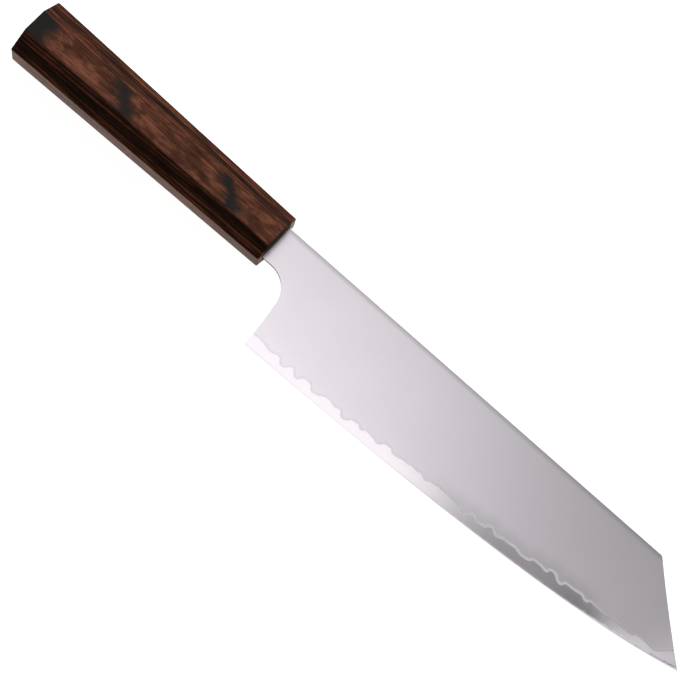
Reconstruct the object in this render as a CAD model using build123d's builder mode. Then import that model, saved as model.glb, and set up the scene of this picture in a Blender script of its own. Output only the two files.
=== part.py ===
from build123d import *
from math import radians, tan
import os

os.makedirs("parts", exist_ok=True)

# A kitchen knife with a clipped point and a plain octagonal handle, in millimetres.
# It lies on its side: +X runs from the handle to the point, +Y from the edge to the spine,
# and +Z out of the blade's right face. The origin is the middle of the handle's front end,
# on the blade's mid-plane.

# Handle, a straight octagon that widens towards the butt
handle_length = 124.0
butt_height = 26.5
butt_width = 21.0
butt_facet_drop = 8.0
front_height = 22.0
front_width = 17.0
front_facet_drop = 6.1
facet_slant_share = 0.7
ridge_chamfer = 0.22
end_chamfer = 0.35
veneer_count = 25

# Blade outline
spine_rise = 7.7
neck_height = 15.7
heel_height = 45.6
heel_reach = 17.4
blade_run = 199.3
tip_rise = 16.3
point_run = 31.1
point_bow = 0.4
corner_round = 1.2
neck_flat = 4.5
choil_setback = 1.8
choil_drop = 9.6
edge_control_shares = ((0.361, 0.091), (0.768, 0.276))

# Blade section
sheet_thickness = 2.0
edge_thickness = 0.40
core_thickness = 0.26
bevel_angle = 15.0
spine_ease = 0.15

# Hidden tang
shoulder_depth = 6.0
tang_length = 88.0
tang_root_height = 10.0
tang_end_height = 6.0

# Socket in the handle, and the adhesive that fills it
mouth_clearance = 0.15
socket_clearance = 1.2
socket_end_gap = 4.0
adhesive_recess = 0.5

# The wavy line where the outer layers end, from heel to point: each pair is a crest, a trough or
# the end of a level stretch, as a share of the way along the edge, and a height over the edge as
# a share of the band's height
band_height = 6.0
band_line_shares = (
    (0.002, 0.93), (0.016, 0.94), (0.045, 0.76), (0.062, 0.89), (0.079, 0.51), (0.097, 0.88),
    (0.113, 0.50), (0.129, 0.87), (0.138, 0.86), (0.155, 0.51), (0.187, 0.83), (0.203, 0.71),
    (0.212, 0.79), (0.229, 0.44), (0.248, 0.79), (0.258, 0.82), (0.267, 0.63), (0.278, 0.81),
    (0.297, 0.73), (0.306, 0.62), (0.323, 0.95), (0.333, 0.95), (0.342, 0.75), (0.369, 0.86),
    (0.388, 0.92), (0.396, 0.84), (0.404, 0.92), (0.418, 0.74), (0.431, 0.90), (0.448, 0.94),
    (0.494, 0.83), (0.514, 0.63), (0.527, 0.91), (0.541, 0.73), (0.552, 0.74), (0.569, 0.99),
    (0.584, 0.73), (0.600, 0.85), (0.625, 0.87), (0.643, 0.71), (0.655, 0.72), (0.668, 0.95),
    (0.683, 0.92), (0.696, 0.82), (0.702, 1.06), (0.708, 1.07), (0.730, 0.69), (0.741, 0.95),
    (0.757, 0.91), (0.774, 0.94), (0.786, 0.74), (0.797, 0.88), (0.830, 0.67), (0.841, 0.73),
    (0.885, 0.57), (0.904, 0.72), (0.920, 0.65), (0.938, 0.49),
)
band_turn_shares = (0.948, 0.555)

# How far a cutting tool reaches past what it cuts
overrun = 5.0

# Places that follow from the sizes
neck_y = spine_rise - neck_height
heel_y = spine_rise - heel_height
tip_x = heel_reach + blade_run
tip_y = heel_y + tip_rise
corner_x = tip_x - point_run
choil_x = heel_reach - choil_setback
choil_y = neck_y - choil_drop
sheet_half = sheet_thickness / 2
edge_half = edge_thickness / 2
core_half = core_thickness / 2
socket_depth = tang_length + socket_end_gap
veneer_thickness = butt_width / veneer_count


def octagon_corners(height, width, facet_drop):
    """Corners of one end of the handle. The slanted facets drop alike at all four corners."""
    facet_slant = facet_slant_share * facet_drop
    quarter = [(height / 2, width / 2 - facet_slant), (height / 2 - facet_drop, width / 2)]
    upper = quarter + [(-across, out) for across, out in reversed(quarter)]
    return upper + [(across, -out) for across, out in reversed(upper)]


def edge_point(run_share, rise_share, lift=0):
    """A point of the cutting edge's frame, from the heel to the tip, raised by lift."""
    return (heel_reach + run_share * blade_run, heel_y + rise_share * tip_rise + lift)


def edge_points(lift=0):
    """Ends and controls of the cutting edge's single curve."""
    first_control, second_control = edge_control_shares
    return (
        edge_point(0, 0, lift),
        edge_point(*first_control, lift),
        edge_point(*second_control, lift),
        edge_point(1, 1, lift),
    )


def both_sides(point, normal):
    """A plane on the right of the blade, and the same on the left."""
    right = Plane(origin=point, z_dir=normal)
    left = Plane(origin=(point.X, point.Y, -point.Z), z_dir=(normal.X, normal.Y, -normal.Z))
    return right, left


# All that lies above the cutting bevels, two slopes that meet along the edge
bevel_reach = sheet_half + overrun
bevel_slope = 1 / tan(radians(bevel_angle))
envelope_top = spine_rise + bevel_reach * bevel_slope
with BuildPart() as bevel_envelope:
    for level in (-bevel_reach, 0, bevel_reach):
        lift = abs(level) * bevel_slope
        with BuildSketch(Plane.XY.offset(level)):
            with BuildLine():
                keen_line = Bezier(*edge_points(lift))
                Polyline(
                    keen_line @ 1,
                    (tip_x + overrun, tip_y + lift),
                    (tip_x + overrun, envelope_top),
                    (-tang_length - overrun, envelope_top),
                    (-tang_length - overrun, heel_y + lift),
                    keen_line @ 0,
                )
            make_face()
    loft(ruled=True)

# The right face is one flat plane through the spine at the handle, the heel and the tip
face_root = Vector(0, spine_rise, sheet_half)
face_heel = Vector(heel_reach, heel_y, edge_half)
face_tip = Vector(tip_x, tip_y, edge_half)
face_normal = (face_heel - face_root).cross(face_tip - face_root).normalized()
right_face, left_face = both_sides(face_root, face_normal)

# Each long edge of the spine is eased by a narrow flat, square to the line that halves the corner
ease_normal = (face_normal + Vector(0, 1)).normalized()
right_ease, left_ease = both_sides(face_root - ease_normal * spine_ease, ease_normal)

# The blade as ground, all three layers together
with BuildPart() as ground_blade:
    with BuildSketch() as blade_outline:
        with BuildLine():
            tang_under = Line((-tang_length, -tang_end_height / 2), (-shoulder_depth, -tang_root_height / 2))
            shoulder_under = Line(tang_under @ 1, (-shoulder_depth, neck_y))
            neck_under = Line(shoulder_under @ 1, (neck_flat, neck_y))
            choil_round = TangentArc(neck_under @ 1, (choil_x, choil_y), tangent=neck_under % 1)
            heel_back = TangentArc(choil_round @ 1, (heel_reach, heel_y), tangent=choil_round % 1)
            edge_line = Bezier(*edge_points())
            point_line = SagittaArc(edge_line @ 1, (corner_x, spine_rise), point_bow)
            spine_line = Line(point_line @ 1, (-shoulder_depth, spine_rise))
            shoulder_over = Line(spine_line @ 1, (-shoulder_depth, tang_root_height / 2))
            tang_over = Line(shoulder_over @ 1, (-tang_length, tang_end_height / 2))
            Line(tang_over @ 1, tang_under @ 0)
        make_face()
        spine_corner = blade_outline.vertices().group_by(Axis.Y)[-1].sort_by(Axis.X)[-1]
        fillet(spine_corner, radius=corner_round)
    extrude(amount=sheet_half, both=True)
    split(bisect_by=right_face, keep=Keep.BOTTOM)
    split(bisect_by=left_face, keep=Keep.BOTTOM)
    add(bevel_envelope.part, mode=Mode.INTERSECT)
    split(bisect_by=right_ease, keep=Keep.BOTTOM)
    split(bisect_by=left_ease, keep=Keep.BOTTOM)


def band_point(along_share, height_share):
    """A point at a share of the way along the edge, raised by a share of the band's height."""
    return edge_line @ along_share + Vector(0, height_share * band_height)


def swing(start, end):
    """Two arcs alike that leave the start level and reach the end level."""
    first_half = TangentArc(start, (start + end) / 2, tangent=(1, 0))
    TangentArc(first_half @ 1, end, tangent=first_half % 1)


# Where the right outer layer lies: above the band line and outside the core
band_points = [band_point(*shares) for shares in band_line_shares]
with BuildPart() as cladding_zone:
    with BuildSketch(Plane.XY.offset(core_half)):
        with BuildLine():
            for start, end in zip(band_points, band_points[1:]):
                swing(start, end)
            last_turn = TangentArc(band_points[-1], band_point(*band_turn_shares), tangent=(1, 0))
            ramp = Line(last_turn @ 1, last_turn @ 1 + last_turn % 1 * point_run)
            Polyline(
                ramp @ 1,
                ((ramp @ 1).X, spine_rise + overrun),
                (-tang_length - overrun, spine_rise + overrun),
                (-tang_length - overrun, band_points[0].Y),
                band_points[0],
            )
        make_face()
    extrude(amount=sheet_thickness)

# Hard core of the blade: it makes the edge, shows bare along the band, and runs into the tang
with BuildPart() as core_steel:
    add(ground_blade.part)
    add(cladding_zone.part, mode=Mode.SUBTRACT)
    add(mirror(cladding_zone.part, about=Plane.XY, mode=Mode.PRIVATE), mode=Mode.SUBTRACT)
core_steel.part.label = "core_steel"
export_step(core_steel.part, "parts/core_steel.step")

# Softer outer layer of the right face, forge-welded to the core
with BuildPart() as cladding_right:
    add(ground_blade.part)
    add(cladding_zone.part, mode=Mode.INTERSECT)
cladding_right.part.label = "cladding_right"
export_step(cladding_right.part, "parts/cladding_right.step")

# Outer layer of the left face, the same the other way round
with BuildPart() as cladding_left:
    mirror(cladding_right.part, about=Plane.XY)
cladding_left.part.label = "cladding_left"
export_step(cladding_left.part, "parts/cladding_left.step")

# Space cut in the handle: a close mouth round the neck, and a roomier bore behind it
with BuildPart() as tang_socket:
    with BuildSketch(Plane.YZ):
        with Locations((spine_rise - neck_height / 2, 0)):
            Rectangle(neck_height + 2 * mouth_clearance, sheet_thickness + 2 * mouth_clearance)
    extrude(amount=-shoulder_depth - mouth_clearance)
    with BuildSketch(Plane.YZ.offset(-shoulder_depth)):
        Rectangle(tang_root_height + 2 * socket_clearance, sheet_thickness + 2 * socket_clearance)
    extrude(amount=shoulder_depth - socket_depth)

# Cured adhesive that fills the socket round the tang, a little short of the handle's front
with BuildPart() as tang_adhesive:
    add(tang_socket.part)
    split(bisect_by=Plane.YZ.offset(-adhesive_recess), keep=Keep.BOTTOM)
    add(ground_blade.part, mode=Mode.SUBTRACT)
tang_adhesive.part.label = "tang_adhesive"
export_step(tang_adhesive.part, "parts/tang_adhesive.step")

# The shaped handle as one body, before it is parted into its veneers: a blank planed to eight
# facets, with a narrow flat along each ridge and round each end
butt_corners = [
    Vector(-handle_length, *corner)
    for corner in octagon_corners(butt_height, butt_width, butt_facet_drop)
]
front_corners = [
    Vector(0, *corner) for corner in octagon_corners(front_height, front_width, front_facet_drop)
]
next_corners = butt_corners[1:] + butt_corners[:1]
with BuildPart() as handle_body:
    with BuildSketch(Plane.YZ.offset(-handle_length)):
        Rectangle(butt_height + overrun, butt_width + overrun)
    extrude(amount=handle_length)
    for butt_corner, front_corner, next_corner in zip(butt_corners, front_corners, next_corners):
        facet_normal = (next_corner - butt_corner).cross(front_corner - butt_corner)
        split(bisect_by=Plane(origin=butt_corner, z_dir=facet_normal), keep=Keep.BOTTOM)
    ridges = handle_body.edges().filter_by(lambda edge: edge.length > handle_length / 2)
    chamfer(ridges, length=ridge_chamfer)
    end_faces = handle_body.faces().sort_by(Axis.X)
    chamfer(end_faces[0].edges() + end_faces[-1].edges(), length=end_chamfer)
    add(tang_socket.part, mode=Mode.SUBTRACT)

# Dyed veneers, pressed into one block with their faces along the blade, numbered from the left
for number in range(1, veneer_count + 1):
    veneer_name = f"veneer_{number:02d}"
    with BuildPart() as veneer:
        with BuildSketch(Plane.XY.offset((number - 1) * veneer_thickness - butt_width / 2)):
            with Locations((-handle_length / 2, 0)):
                Rectangle(handle_length + 2 * overrun, butt_height + 2 * overrun)
        extrude(amount=veneer_thickness)
        add(handle_body.part, mode=Mode.INTERSECT)
    veneer.part.label = veneer_name
    export_step(veneer.part, f"parts/{veneer_name}.step")
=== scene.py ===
import math
from math import radians

import bmesh
import bpy
from mathutils import Matrix, Vector
from mathutils.bvhtree import BVHTree


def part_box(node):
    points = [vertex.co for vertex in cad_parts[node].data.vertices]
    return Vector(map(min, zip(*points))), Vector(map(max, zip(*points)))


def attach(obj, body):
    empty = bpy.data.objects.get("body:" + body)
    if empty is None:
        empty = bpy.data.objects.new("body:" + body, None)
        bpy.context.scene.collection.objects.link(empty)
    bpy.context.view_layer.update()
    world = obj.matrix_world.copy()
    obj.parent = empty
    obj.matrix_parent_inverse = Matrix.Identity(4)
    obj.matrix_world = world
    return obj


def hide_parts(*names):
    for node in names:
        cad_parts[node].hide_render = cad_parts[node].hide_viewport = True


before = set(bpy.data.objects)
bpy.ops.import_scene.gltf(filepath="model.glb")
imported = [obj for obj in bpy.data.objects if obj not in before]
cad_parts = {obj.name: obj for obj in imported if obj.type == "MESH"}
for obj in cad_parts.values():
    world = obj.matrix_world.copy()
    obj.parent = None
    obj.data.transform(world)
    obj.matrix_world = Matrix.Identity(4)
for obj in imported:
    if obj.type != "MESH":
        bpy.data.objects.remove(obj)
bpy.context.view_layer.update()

# Blade layers
# The blade is three sheets of steel forge-welded face to face and ground to a taper: a thin hard
# core between two softer outer layers. The grind lays the core bare along the edge, where it is
# polished, and a wavy line is left where each outer layer runs out over it.

cut_step = 0.001
cut_rows = 0.0006
cut_top = 0.024
merge_reach = 1e-6
flat_angle = radians(0.05)
crease_angle = radians(6)
wall_upright = 0.1
wall_facing_edge = -0.3
roll_width = 0.0024
roll_depth = 0.00008
roll_rows = 8
thinnest_rolled = roll_depth * 3


def band_line_walls():
    """The narrow walls at which the outer layers end over the core, as one tree to search."""
    corners = []
    walls = []
    band_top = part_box("core_steel")[0].y + cut_top
    for node in ("cladding_right", "cladding_left"):
        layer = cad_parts[node].data
        for face in layer.polygons:
            upright = abs(face.normal.z) < wall_upright and face.normal.y < wall_facing_edge
            if upright and face.center.y < band_top:
                walls.append([len(corners) + place for place in range(len(face.vertices))])
                corners += [layer.vertices[index].co.copy() for index in face.vertices]
    return BVHTree.FromPolygons(corners, walls)


line_walls = band_line_walls()


def ground_layer(node, name):
    """A copy of one layer of the blade, cut fine near the edge and told how far off the line is."""
    layer = bmesh.new()
    layer.from_mesh(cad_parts[node].data)
    bmesh.ops.remove_doubles(layer, verts=layer.verts, dist=merge_reach)
    bmesh.ops.dissolve_limit(layer, angle_limit=flat_angle, verts=layer.verts, edges=layer.edges)
    lowest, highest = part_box(node)
    cuts = []
    place = 0.0
    while place < highest.x:
        cuts.append((Vector((place, 0, 0)), Vector((1, 0, 0))))
        place += cut_step
    place = lowest.y
    while place < lowest.y + cut_top:
        cuts.append((Vector((0, place, 0)), Vector((0, 1, 0))))
        place += cut_rows
    for row in range(roll_rows):
        height = highest.y - roll_width * (row + 1) / roll_rows
        cuts.append((Vector((0, height, 0)), Vector((0, 1, 0))))
    for point, normal in cuts:
        everything = layer.verts[:] + layer.edges[:] + layer.faces[:]
        bmesh.ops.bisect_plane(layer, geom=everything, plane_co=point, plane_no=normal, dist=merge_reach)
    many_sided = [face for face in layer.faces if len(face.verts) > 4]
    bmesh.ops.triangulate(layer, faces=many_sided)
    distance = layer.verts.layers.float.new("line_distance")
    for corner in layer.verts:
        corner[distance] = line_walls.find_nearest(corner.co)[3]
        into_roll = max(0.0, 1 - (highest.y - corner.co.y) / roll_width)
        if corner.co.x > 0 and abs(corner.co.z) > thinnest_rolled:
            corner.co.z -= math.copysign(roll_depth * into_roll**2, corner.co.z)
    for face in layer.faces:
        face.smooth = True
    mesh = bpy.data.meshes.new(name)
    layer.to_mesh(mesh)
    layer.free()
    mesh.set_sharp_from_angle(angle=crease_angle)
    piece = bpy.data.objects.new(name, mesh)
    even = piece.modifiers.new("even_shading", "WEIGHTED_NORMAL")
    even.keep_sharp = True
    bpy.context.scene.collection.objects.link(piece)
    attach(piece, "root")
    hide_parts(node)
    return piece


def bare_material(name):
    """A new material with an empty tree of nodes."""
    material = bpy.data.materials.new(name)
    material.use_nodes = True
    material.node_tree.nodes.clear()
    return material


def shader_node(tree, kind, name, inputs=(), **settings):
    """A node with its settings made, and its inputs set or linked in one go."""
    new = tree.nodes.new(kind)
    new.name = new.label = name
    for setting, value in settings.items():
        setattr(new, setting, value)
    for socket, value in dict(inputs).items():
        if isinstance(value, bpy.types.NodeSocket):
            tree.links.new(value, new.inputs[socket])
        else:
            new.inputs[socket].default_value = value
    return new


def calculated(tree, operation, first, second=0.5, third=0.5):
    """The output of one sum."""
    values = {0: first, 1: second, 2: third}
    return shader_node(tree, "ShaderNodeMath", operation.lower(), values, operation=operation).outputs[0]


def eased(tree, value, from_low, from_high, to_low=0.0, to_high=1.0):
    """A value carried smoothly from one range to another."""
    inputs = {
        "Value": value, "From Min": from_low, "From Max": from_high, "To Min": to_low, "To Max": to_high,
    }
    range_node = shader_node(tree, "ShaderNodeMapRange", "range", inputs, interpolation_type="SMOOTHSTEP")
    return range_node.outputs["Result"]


def between(tree, share, at_none, at_full):
    """A value that goes smoothly from one amount to another as a share grows from 0 to 1."""
    return eased(tree, share, 0.0, 1.0, at_none, at_full)


def mixed(tree, name, share, first, second, blend_type="MIX"):
    """Two colours mixed by the share of the second."""
    inputs = {0: share, 6: first, 7: second}
    settings = {"data_type": "RGBA", "blend_type": blend_type}
    return shader_node(tree, "ShaderNodeMix", name, inputs, **settings).outputs[2]


def steel_finish_group():
    """Hairlines of the last stone and faint polishing clouds, for every ground steel face."""
    group = bpy.data.node_groups.new("steel_finish", "ShaderNodeTree")
    for output in ("Hairlines", "Clouds"):
        group.interface.new_socket(output, in_out="OUTPUT", socket_type="NodeSocketFloat")
    place = shader_node(group, "ShaderNodeTexCoord", "place").outputs["Object"]
    drawn = shader_node(group, "ShaderNodeMapping", "drawn", {"Vector": place, "Scale": (5000, 90, 90)})
    lines = shader_node(
        group, "ShaderNodeTexNoise", "lines",
        {"Vector": drawn.outputs[0], "Scale": 1.0, "Detail": 3.0, "Roughness": 0.6},
    )
    clouds = shader_node(
        group, "ShaderNodeTexNoise", "clouds",
        {"Vector": place, "Scale": 60.0, "Detail": 2.0, "Roughness": 0.5},
    )
    shader_node(
        group, "NodeGroupOutput", "ends",
        {"Hairlines": lines.outputs["Fac"], "Clouds": clouds.outputs["Fac"]},
    )
    return group


steel_finish = steel_finish_group()
neck_fall = (0.018, 0.022)
belly_rise = (0.095, 0.125)
point_fall = (0.172, 0.184)
tip_rise = (0.195, 0.214)
tip_reach = 18.0
downward = (-0.8, -0.4)
downward_shade = 0.85
frosted_tint = (0.90, 0.88, 0.90, 1.0)
frosted_roughness = 0.5
frosted_metal = -0.85
shadow_tint = (0, 0, 0, 1)
finish_share = 0.03


def ground_steel(name, colour, tip_highlight_colour, line_shade_share, near_roughness, far_roughness, far_distance):
    """Steel frosted by the weld at the line, with painted shade under the neck, in the choil and beside the
    line, and a painted highlight at the tip.
    """
    material = bare_material(name)
    tree = material.node_tree
    finish = shader_node(tree, "ShaderNodeGroup", "finish", node_tree=steel_finish)
    distance = shader_node(tree, "ShaderNodeAttribute", "line distance", attribute_name="line_distance")
    millimetres = calculated(tree, "MULTIPLY", distance.outputs["Fac"], 1000.0)
    coordinates = shader_node(tree, "ShaderNodeTexCoord", "coordinates")
    place = coordinates.outputs["Object"]
    along = shader_node(tree, "ShaderNodeSeparateXYZ", "split", {"Vector": place}).outputs["X"]

    fray = shader_node(
        tree, "ShaderNodeTexNoise", "fray",
        {"Vector": place, "Scale": 900.0, "Detail": 2.0, "Roughness": 0.6},
    )
    frayed = calculated(tree, "MULTIPLY_ADD", fray.outputs["Fac"], -0.5, millimetres)
    towards_belly = eased(tree, along, *belly_rise)
    before_point = eased(tree, along, *point_fall, 1.0, 0.0)
    belly_frost_and_shade = calculated(tree, "MULTIPLY", towards_belly, before_point)
    line_width = between(tree, belly_frost_and_shade, 0.35, 0.50)
    line_shown = between(tree, belly_frost_and_shade, 0.22, 1.0)
    line = calculated(tree, "MULTIPLY", eased(tree, frayed, -0.05, line_width, 1.0, 0.0), line_shown)

    ground = eased(tree, millimetres, 0.0, far_distance, near_roughness, far_roughness)
    clouded = calculated(tree, "MULTIPLY_ADD", finish.outputs["Clouds"], finish_share, ground)
    drawn = calculated(tree, "MULTIPLY_ADD", finish.outputs["Hairlines"], finish_share, clouded)
    roughness = shader_node(tree, "ShaderNodeMix", "roughness", {0: line, 2: drawn, 3: frosted_roughness})

    facing = shader_node(
        tree, "ShaderNodeSeparateXYZ", "facing", {"Vector": coordinates.outputs["Normal"]}
    )
    # Painted shade: walls facing down, under the neck and in the choil, are darkened towards black.
    turned_down = eased(tree, facing.outputs["Y"], *downward, downward_shade, 0.0)
    underside = calculated(tree, "MULTIPLY", turned_down, eased(tree, along, *neck_fall, 1.0, 0.0))
    # Painted shade: along the belly the colour beside the line is darkened towards black.
    beside_line = eased(tree, millimetres, 0.0, far_distance, line_shade_share, 0.0)
    painted_shade = calculated(tree, "MAXIMUM", underside, calculated(tree, "MULTIPLY", belly_frost_and_shade, beside_line))
    # Painted highlight: near the point the colour is lightened towards the tip colour.
    near_tip = eased(tree, millimetres, 0.0, tip_reach, 1.0, 0.0)
    at_tip = calculated(tree, "MULTIPLY", eased(tree, along, *tip_rise), near_tip)
    tip_highlighted = mixed(tree, "tip_highlighted", at_tip, (*colour, 1.0), (*tip_highlight_colour, 1.0))
    shaded_tint = mixed(tree, "shaded_tint", painted_shade, tip_highlighted, shadow_tint)
    tint = mixed(tree, "tint", line, shaded_tint, frosted_tint)

    bump = shader_node(
        tree, "ShaderNodeBump", "hairline relief",
        {"Strength": 0.04, "Distance": 0.00002, "Height": finish.outputs["Hairlines"]},
    )
    steel = shader_node(
        tree, "ShaderNodeBsdfPrincipled", "steel",
        {
            "Base Color": tint,
            "Metallic": calculated(tree, "MULTIPLY_ADD", line, frosted_metal, 1.0),
            "Roughness": roughness.outputs[0],
            "Normal": bump.outputs["Normal"],
        },
    )
    shader_node(tree, "ShaderNodeOutputMaterial", "surface", {"Surface": steel.outputs[0]})
    return material


# Core
# The hard middle sheet, which takes the edge. It shows as the bare band between the line and the
# edge, on both faces, polished finer than the rest.

core_colour = (0.685, 0.655, 0.685)
core = ground_layer("core_steel", "core")
core.data.materials.clear()
# Its downward walls under the neck and in the choil carry the painted shade of ground_steel.
core.data.materials.append(
    ground_steel(
        "polished_core", core_colour, core_colour, line_shade_share=0.0,
        near_roughness=0.10, far_roughness=0.08, far_distance=3.0,
    )
)

# Outer layers
# The soft sheets on each side of the core, with an even satin finish. Along the belly the colour beside the
# line is darkened as painted shade, and near the point it is lightened as a painted highlight.

for side in ("right", "left"):
    cladding = ground_layer("cladding_" + side, "outer_layer_" + side)
    cladding.data.materials.clear()
    cladding.data.materials.append(
        ground_steel(
            "satin_cladding", (0.785, 0.75, 0.785), (0.97, 0.93, 0.97), line_shade_share=0.16,
            near_roughness=0.262, far_roughness=0.272, far_distance=6.0,
        )
    )

# Adhesive
# Cured black epoxy round the tang. It stands a little back from the handle's front, so that it
# shows only as a dark gap round the blade.

epoxy = bare_material("black_epoxy")
epoxy_tree = epoxy.node_tree
epoxy_place = shader_node(epoxy_tree, "ShaderNodeTexCoord", "place").outputs["Object"]
epoxy_specks = shader_node(
    epoxy_tree, "ShaderNodeTexNoise", "specks",
    {"Vector": epoxy_place, "Scale": 1500.0, "Detail": 3.0},
).outputs["Fac"]
epoxy_relief = shader_node(
    epoxy_tree, "ShaderNodeBump", "relief",
    {"Strength": 0.3, "Distance": 0.0001, "Height": epoxy_specks},
)
epoxy_colour = shader_node(epoxy_tree, "ShaderNodeValToRGB", "colour", {"Fac": epoxy_specks})
epoxy_colour.color_ramp.elements[0].color = (0.006, 0.005, 0.005, 1)
epoxy_colour.color_ramp.elements[1].color = (0.02, 0.017, 0.015, 1)
epoxy_body = shader_node(
    epoxy_tree, "ShaderNodeBsdfPrincipled", "epoxy",
    {
        "Base Color": epoxy_colour.outputs["Color"],
        "Roughness": 0.45,
        "Normal": epoxy_relief.outputs["Normal"],
    },
)
shader_node(epoxy_tree, "ShaderNodeOutputMaterial", "surface", {"Surface": epoxy_body.outputs[0]})
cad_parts["tang_adhesive"].data.materials[0] = epoxy

# Handle veneers
# Thin birch veneers soaked in dye and resin and pressed into one block, their faces along the
# blade. Planing it to eight tapered facets cuts them as long stripes on the slanted facets, and as
# cloudy dark patches where a veneer's dark face runs out on the broad sides.

veneer_pitch = 0.84
dark_face_height = 9.75
dark_face_lean = 0.018
outer_face_height = 10.36
broad_facing = (0.90, 0.98)
square_facing = (0.3, 0.7)
front_rise = (-1.5, -0.5)
front_facing = (0.3, 0.9)
mouth_fall = (6.5, 9.2)
mouth_shade = 0.86


def veneer_figure_group():
    """The block's figure: tones of the grain, the veneers' dark faces, and what is cut aslant."""
    group = bpy.data.node_groups.new("veneer_figure", "ShaderNodeTree")
    for output in ("Tone", "Dark face", "Cut aslant", "Grain", "Vessels", "Mouth"):
        group.interface.new_socket(output, in_out="OUTPUT", socket_type="NodeSocketFloat")
    place = shader_node(group, "ShaderNodeTexCoord", "place")
    millimetres = shader_node(
        group, "ShaderNodeMapping", "millimetres", {"Vector": place.outputs["Object"], "Scale": (1000,) * 3}
    ).outputs[0]

    def noise(name, stretch, detail, distortion=0.0, turned=(0, 0, 0)):
        """Noise drawn out along the grain, in millimetres."""
        way = {"Vector": millimetres, "Scale": stretch, "Rotation": turned}
        inputs = {
            "Vector": shader_node(group, "ShaderNodeMapping", name + " way", way).outputs[0],
            "Scale": 1.0, "Detail": detail, "Roughness": 0.55, "Distortion": distortion,
        }
        return shader_node(group, "ShaderNodeTexNoise", name, inputs).outputs["Fac"]

    split = shader_node(group, "ShaderNodeSeparateXYZ", "split", {"Vector": millimetres})
    out = calculated(group, "ABSOLUTE", split.outputs["Z"])
    facing = shader_node(group, "ShaderNodeSeparateXYZ", "facing", {"Vector": place.outputs["Normal"]})
    broad = eased(group, calculated(group, "ABSOLUTE", facing.outputs["Z"]), *broad_facing)
    square = eased(group, calculated(group, "ABSOLUTE", facing.outputs["Z"]), *square_facing, 1.0, 0.0)
    aslant = calculated(group, "SUBTRACT", 1.0, calculated(group, "MAXIMUM", broad, square))
    across = calculated(group, "ABSOLUTE", split.outputs["Y"])
    # Painted shade mask: the handle's front face round the blade, where it meets the blade.
    facing_front = eased(group, facing.outputs["X"], *front_facing)
    front = calculated(group, "MULTIPLY", eased(group, split.outputs["X"], *front_rise), facing_front)
    mouth = calculated(group, "MULTIPLY", front, eased(group, across, *mouth_fall, mouth_shade, 0.0))

    swell = noise("swell", (0.06, 0.16, 0.16), 3.0)
    grain = noise("grain", (0.05, 1.3, 1.3), 3.0, 0.4)
    wavy = calculated(group, "MULTIPLY_ADD", swell, 0.22, calculated(group, "SUBTRACT", out, 0.17))
    level = calculated(group, "MULTIPLY_ADD", grain, 0.12, wavy)
    leaned = calculated(group, "MULTIPLY_ADD", split.outputs["Y"], -dark_face_lean, level)
    above_face = calculated(group, "SUBTRACT", leaned, dark_face_height)
    middle = calculated(group, "ADD", calculated(group, "DIVIDE", above_face, veneer_pitch), 0.5)
    off_share = calculated(group, "SUBTRACT", calculated(group, "FRACT", middle), 0.5)
    off = calculated(group, "MULTIPLY", off_share, veneer_pitch)
    number = calculated(group, "FLOOR", middle)
    sharp_side = eased(group, off, -0.12, -0.02)
    thinned = calculated(group, "MAXIMUM", calculated(group, "MULTIPLY_ADD", number, 0.10, 0.20), 0.10)
    soft_reach = calculated(group, "MAXIMUM", calculated(group, "MULTIPLY", aslant, 0.42), thinned)
    soft_side = eased(group, off, 0.0, soft_reach, 1.0, 0.0)
    own_along = calculated(group, "MULTIPLY", split.outputs["X"], 0.02)
    own_level = calculated(group, "MULTIPLY", number, 5.3)
    own = shader_node(group, "ShaderNodeCombineXYZ", "own place", {"X": own_along, "Z": own_level})
    own_strength = shader_node(
        group, "ShaderNodeTexNoise", "own strength", {"Vector": own.outputs[0], "Scale": 1.0, "Detail": 2.0}
    )
    uneven = eased(group, own_strength.outputs["Fac"], 0.34, 0.50, 0.60, 1.0)
    strength = calculated(group, "MAXIMUM", uneven, calculated(group, "MULTIPLY", broad, 0.92))
    both_sides = calculated(group, "MULTIPLY", sharp_side, soft_side)
    inner = calculated(group, "MULTIPLY", both_sides, strength)
    outer = eased(group, level, outer_face_height - 0.08, outer_face_height + 0.05)
    dark_face = calculated(group, "MAXIMUM", inner, outer)

    layers = noise("layers", (0.035, 0.14, 1.5), 4.0, 0.3)
    mottle = noise("mottle", (0.11, 0.26, 0.26), 3.0, 0.8)
    streaks = noise("streaks", (0.20, 1.8, 1.8), 4.0, 0.9, (0, 0, 0.12))
    clouded = calculated(group, "MULTIPLY_ADD", mottle, between(group, aslant, 0.8, 0.5), layers)
    grained = calculated(group, "MULTIPLY_ADD", grain, between(group, aslant, 0.7, 1.5), clouded)
    streaked = calculated(group, "MULTIPLY_ADD", streaks, between(group, aslant, 0.6, 0.3), grained)
    low_tone = between(group, aslant, 1.16, 1.36)
    high_tone = between(group, aslant, 1.95, 1.94)
    vessels = noise("vessels", (0.45, 8.0, 8.0), 2.0)

    figure = {
        "Tone": eased(group, streaked, low_tone, high_tone),
        "Dark face": dark_face,
        "Cut aslant": aslant,
        "Grain": grain,
        "Vessels": eased(group, vessels, 0.36, 0.56, 0.72, 1.06),
        "Mouth": mouth,
    }
    shader_node(group, "NodeGroupOutput", "ends", figure)
    return group


veneer_figure = veneer_figure_group()
aslant_tint = (0.78, 0.62, 0.49, 1)
flat_dark_face = (0.030, 0.027, 0.025, 1)
aslant_dark_face = (0.008, 0.007, 0.004, 1)
mouth_shade_colour = (0.026, 0.020, 0.018, 1)
mouth_roughness = 0.75


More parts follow.
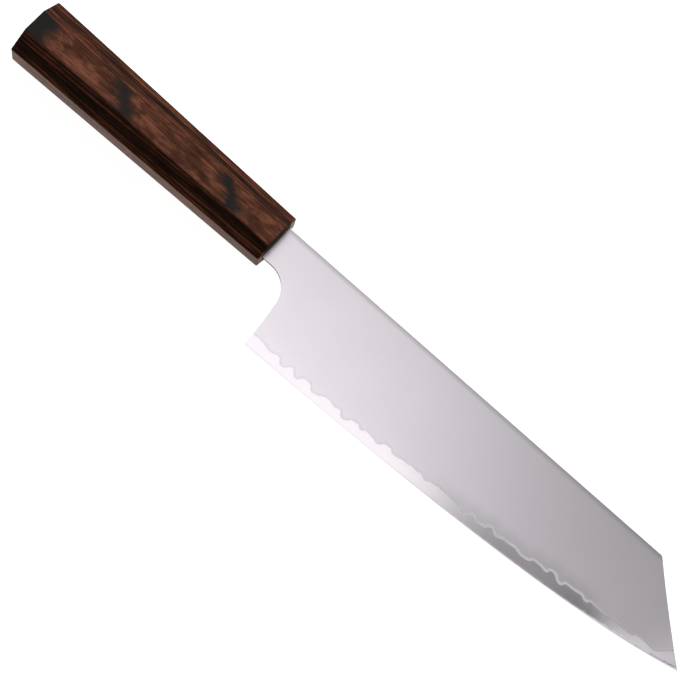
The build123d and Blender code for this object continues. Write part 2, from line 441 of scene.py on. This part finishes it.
def dyed_veneer(name, dark_tone, middle_tone, light_tone):
    """Pressed veneer in three tones that follow its figure, with painted shade round the mouth, where the
    front face meets the blade.
    """
    material = bare_material(name)
    tree = material.node_tree
    figure = shader_node(tree, "ShaderNodeGroup", "figure", node_tree=veneer_figure).outputs
    tones = shader_node(tree, "ShaderNodeValToRGB", "tones", {"Fac": figure["Tone"]})
    tones.color_ramp.elements[0].color = (*dark_tone, 1)
    tones.color_ramp.elements[1].color = (*light_tone, 1)
    tones.color_ramp.elements.new(0.5).color = (*middle_tone, 1)
    deepened = mixed(
        tree, "deepened", figure["Cut aslant"], tones.outputs["Color"], aslant_tint, blend_type="MULTIPLY"
    )
    dark = mixed(tree, "dark", figure["Cut aslant"], flat_dark_face, aslant_dark_face)
    faced = mixed(tree, "faced", figure["Dark face"], deepened, dark)
    pored = mixed(tree, "pored", 1.0, faced, figure["Vessels"], blend_type="MULTIPLY")
    # Painted shade: the front face round the blade is darkened and made rougher.
    colour = mixed(tree, "colour", figure["Mouth"], pored, mouth_shade_colour)
    relief = shader_node(
        tree, "ShaderNodeBump", "relief",
        {"Strength": 0.15, "Distance": 0.00005, "Height": figure["Grain"]},
    )
    polished = calculated(tree, "MULTIPLY_ADD", figure["Grain"], 0.10, 0.28)
    wood = shader_node(
        tree, "ShaderNodeBsdfPrincipled", "wood",
        {
            "Base Color": colour,
            "Roughness": between(tree, figure["Mouth"], polished, mouth_roughness),
            "Specular IOR Level": 0.06,
            "Normal": relief.outputs["Normal"],
        },
    )
    shader_node(tree, "ShaderNodeOutputMaterial", "surface", {"Surface": wood.outputs[0]})
    return material


chestnut = dyed_veneer("chestnut_veneer", (0.058, 0.021, 0.013), (0.138, 0.050, 0.028), (0.36, 0.134, 0.077))
amber = dyed_veneer("amber_veneer", (0.11, 0.035, 0.013), (0.26, 0.082, 0.026), (0.50, 0.19, 0.070))
umber = dyed_veneer("umber_veneer", (0.012, 0.006, 0.004), (0.055, 0.018, 0.009), (0.14, 0.045, 0.018))
black = dyed_veneer("black_veneer", (0.003, 0.003, 0.003), (0.007, 0.005, 0.004), (0.035, 0.014, 0.007))
pressed_dyes = (
    chestnut, chestnut, chestnut, black, umber, amber, chestnut, amber, umber,
    amber, chestnut, amber, umber, amber, chestnut, amber, chestnut, amber,
    chestnut, chestnut, umber, umber, chestnut, chestnut, chestnut,
)
handle_veneers = [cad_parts[node] for node in sorted(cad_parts) if node.startswith("veneer")]
for veneer, dye in zip(handle_veneers, pressed_dyes):
    veneer.data.materials[0] = dye

# Table
# A plain white table top under the knife, which rests on the handle's front edge and the point. To the
# blade's underside its glow is lowered right under the blade, a painted shadow.

front_reach = -0.001
middle_reach = 0.1
table_reach = 3.0
table_glow = 0.97
open_glow = 0.80
shadowed_glow = 0.42
front_low = min(
    (corner.co for veneer in handle_veneers for corner in veneer.data.vertices if corner.co.x > front_reach),
    key=lambda corner: corner.z,
)
table_slope = min(
    (corner.co.z - front_low.z) / (corner.co.x - front_low.x)
    for corner in core.data.vertices if corner.co.x > middle_reach
)
table_mesh = bmesh.new()
bmesh.ops.create_grid(table_mesh, x_segments=1, y_segments=1, size=table_reach)
for corner in table_mesh.verts:
    corner.co.z = front_low.z + (corner.co.x - front_low.x) * table_slope
table_data = bpy.data.meshes.new("table")
table_mesh.to_mesh(table_data)
table_mesh.free()
table = bpy.data.objects.new("table", table_data)
bpy.context.scene.collection.objects.link(table)
white = bare_material("white_table")
white_tree = white.node_tree
seen = shader_node(white_tree, "ShaderNodeLightPath", "seen").outputs["Is Camera Ray"]
white_place = shader_node(white_tree, "ShaderNodeTexCoord", "place").outputs["Object"]
white_split = shader_node(white_tree, "ShaderNodeSeparateXYZ", "split", {"Vector": white_place})
# Painted shadow: the glow that shiny surfaces see is lowered in a patch right under the blade.
shade_sides = (
    eased(white_tree, white_split.outputs["X"], -0.002, 0.004),
    eased(white_tree, white_split.outputs["X"], 0.212, 0.218, 1.0, 0.0),
    eased(white_tree, white_split.outputs["Y"], -0.042, -0.034),
    eased(white_tree, white_split.outputs["Y"], 0.006, 0.012, 1.0, 0.0),
)
under_blade_shadow = shade_sides[0]
for side in shade_sides[1:]:
    under_blade_shadow = calculated(white_tree, "MULTIPLY", under_blade_shadow, side)
unseen_glow = between(white_tree, under_blade_shadow, open_glow, shadowed_glow)
white_top = shader_node(
    white_tree, "ShaderNodeBsdfPrincipled", "white top",
    {
        "Base Color": (0.5, 0.5, 0.5, 1),
        "Roughness": 0.9,
        "Emission Color": (1, 1, 1, 1),
        "Emission Strength": between(white_tree, seen, unseen_glow, table_glow),
    },
)
below = shader_node(white_tree, "ShaderNodeNewGeometry", "below").outputs["Backfacing"]
clear = shader_node(white_tree, "ShaderNodeBsdfTransparent", "clear")
one_sided = shader_node(
    white_tree, "ShaderNodeMixShader", "one sided", {0: below, 1: white_top.outputs[0], 2: clear.outputs[0]}
)
shader_node(white_tree, "ShaderNodeOutputMaterial", "surface", {"Surface": one_sided.outputs[0]})
table_data.materials.append(white)

# Lights
# A softbox hangs over the blade, dimmer towards the point and crossed by two dark bars, with a strip
# light beside it on the edge's side. Only shiny surfaces see these two. A lamp beyond the spine
# lights the handle, and the room is a pale ring round a dark ceiling.

panel_height = 1.2
cloth_colour = (1.0, 0.985, 1.0, 1)


def hung_panel(name, low, high):
    """A flat panel that hangs over the table, faces down and shows in shiny surfaces only."""
    size = high - low
    middle = (high + low) / 2
    shape = bmesh.new()
    bmesh.ops.create_grid(shape, x_segments=1, y_segments=1, size=0.5)
    bmesh.ops.scale(shape, vec=(size.x, -size.y, 1), verts=shape.verts)
    bmesh.ops.translate(shape, vec=(*middle, panel_height), verts=shape.verts)
    mesh = bpy.data.meshes.new(name)
    shape.to_mesh(mesh)
    shape.free()
    panel = bpy.data.objects.new(name, mesh)
    panel.visible_camera = False
    panel.visible_diffuse = False
    bpy.context.scene.collection.objects.link(panel)
    return panel


softbox_low = Vector((-0.9, -0.15))
softbox_high = Vector((0.75, 0.50))
softbox_strength = 1.46
spine_side_from = 0.24
spine_side_level = 0.32
fade_stops = (
    (-0.9, 1.0), (0.08, 1.0), (0.11, 0.86), (0.150, 0.45), (0.200, 0.25), (0.256, 0.30),
    (0.284, 0.20), (0.304, 0.02), (0.320, 0.0), (0.330, 0.60), (0.352, 0.76), (0.41, 0.66),
    (0.44, 0.06), (0.50, 0.06), (0.54, 0.38), (0.75, 0.38),
)
softbox = hung_panel("softbox", softbox_low, softbox_high)
lamp = bare_material("softbox_cloth")
lamp_tree = lamp.node_tree
lamp_place = shader_node(lamp_tree, "ShaderNodeTexCoord", "place").outputs["Object"]
lamp_split = shader_node(lamp_tree, "ShaderNodeSeparateXYZ", "split", {"Vector": lamp_place})
lamp_along = shader_node(
    lamp_tree, "ShaderNodeMapRange", "along",
    {"Value": lamp_split.outputs["X"], "From Min": softbox_low.x, "From Max": softbox_high.x},
)
lamp_fade = shader_node(lamp_tree, "ShaderNodeValToRGB", "fade", {"Fac": lamp_along.outputs["Result"]})
fade_elements = lamp_fade.color_ramp.elements
fade_elements.remove(fade_elements[1])
for number, (where, level) in enumerate(fade_stops):
    share = (where - softbox_low.x) / (softbox_high.x - softbox_low.x)
    stop = fade_elements[0] if number == 0 else fade_elements.new(share)
    stop.position = share
    stop.color = (level, level, level, 1)
lamp_across = eased(
    lamp_tree, lamp_split.outputs["Y"], softbox_high.y, spine_side_from, spine_side_level, 1.0
)
lamp_level = calculated(lamp_tree, "MULTIPLY", lamp_fade.outputs["Color"], lamp_across)
lamp_back = shader_node(lamp_tree, "ShaderNodeNewGeometry", "back").outputs["Backfacing"]
lamp_shown = calculated(lamp_tree, "MULTIPLY", lamp_level, calculated(lamp_tree, "SUBTRACT", 1.0, lamp_back))
lamp_strength = calculated(lamp_tree, "MULTIPLY", lamp_shown, softbox_strength)
lamp_glow = shader_node(
    lamp_tree, "ShaderNodeEmission", "glow", {"Color": cloth_colour, "Strength": lamp_strength}
)
shader_node(lamp_tree, "ShaderNodeOutputMaterial", "surface", {"Surface": lamp_glow.outputs[0]})
softbox.data.materials.append(lamp)

strip = hung_panel("strip_light", Vector((-0.9, -0.75)), Vector((1.5, -0.15)))
strip_cloth = bare_material("strip_cloth")
strip_tree = strip_cloth.node_tree
strip_place = shader_node(strip_tree, "ShaderNodeTexCoord", "place").outputs["Object"]
strip_split = shader_node(strip_tree, "ShaderNodeSeparateXYZ", "split", {"Vector": strip_place})
strip_strength = eased(strip_tree, strip_split.outputs["X"], 0.05, 0.20, 1.36, 0.86)
strip_glow = shader_node(
    strip_tree, "ShaderNodeEmission", "glow", {"Color": cloth_colour, "Strength": strip_strength}
)
shader_node(strip_tree, "ShaderNodeOutputMaterial", "surface", {"Surface": strip_glow.outputs[0]})
strip.data.materials.append(strip_cloth)

key = bpy.data.lights.new("key", "AREA")
key.shape = "RECTANGLE"
key.size = 1.2
key.size_y = 0.5
key.energy = 15.7
key_light = bpy.data.objects.new("key_light", key)
key_light.location = (-0.05, 1.02, 0.83)
key_light.visible_glossy = False
key_light.rotation_mode = "QUATERNION"
key_light.rotation_quaternion = key_light.location.to_track_quat("Z", "Y")
bpy.context.scene.collection.objects.link(key_light)

world = bpy.data.worlds.new("studio")
bpy.context.scene.world = world
world.use_nodes = True
world_tree = world.node_tree
world_tree.nodes.clear()
room_rays = shader_node(world_tree, "ShaderNodeLightPath", "rays")
room_way = shader_node(world_tree, "ShaderNodeTexCoord", "way").outputs["Generated"]
room_height = shader_node(world_tree, "ShaderNodeSeparateXYZ", "height", {"Vector": room_way}).outputs["Z"]
room_walls = eased(world_tree, room_height, 0.0, 0.30, 0.20, 0.45)
room_ceiling = eased(world_tree, room_height, 0.66, 0.86, 1.0, 0.1)
room_mirrored = calculated(world_tree, "MULTIPLY", room_walls, room_ceiling)
room_unseen = shader_node(
    world_tree, "ShaderNodeMix", "unseen",
    {0: room_rays.outputs["Is Glossy Ray"], 2: 0.04, 3: room_mirrored},
).outputs[0]
room_level = shader_node(
    world_tree, "ShaderNodeMix", "level",
    {0: room_rays.outputs["Is Camera Ray"], 2: room_unseen, 3: 1.0},
).outputs[0]
room = shader_node(
    world_tree, "ShaderNodeBackground", "room", {"Color": (1, 1, 1, 1), "Strength": room_level}
)
shader_node(world_tree, "ShaderNodeOutputWorld", "surface", {"Surface": room.outputs[0]})

# Camera
# It stands where the photograph was taken from: over the blade's right face, a little below the
# edge, and rolled so that the knife runs from the upper left to the lower right.

eye = Vector((0.101023, -0.207332, 0.723313))
tilt = radians(-15.1755)
swing = radians(-4.3413)
turn = radians(-1.0893)
roll = radians(41.5045)
focal_pixels = 2003.4
photo_width = 680
camera_data = bpy.data.cameras.new("camera")
camera_data.sensor_fit = "HORIZONTAL"
camera_data.sensor_width = 36.0
camera_data.lens = focal_pixels * camera_data.sensor_width / photo_width
camera_data.clip_start = 0.01
camera = bpy.data.objects.new("camera", camera_data)
facing = (
    Matrix.Rotation(-turn, 4, "Z")
    @ Matrix.Rotation(-swing, 4, "Y")
    @ Matrix.Rotation(-tilt, 4, "X")
    @ Matrix.Rotation(roll, 4, "Z")
)
camera.matrix_world = Matrix.Translation(eye) @ facing
bpy.context.scene.collection.objects.link(camera)
bpy.context.scene.camera = camera
bpy.context.scene.view_settings.view_transform = "Standard"
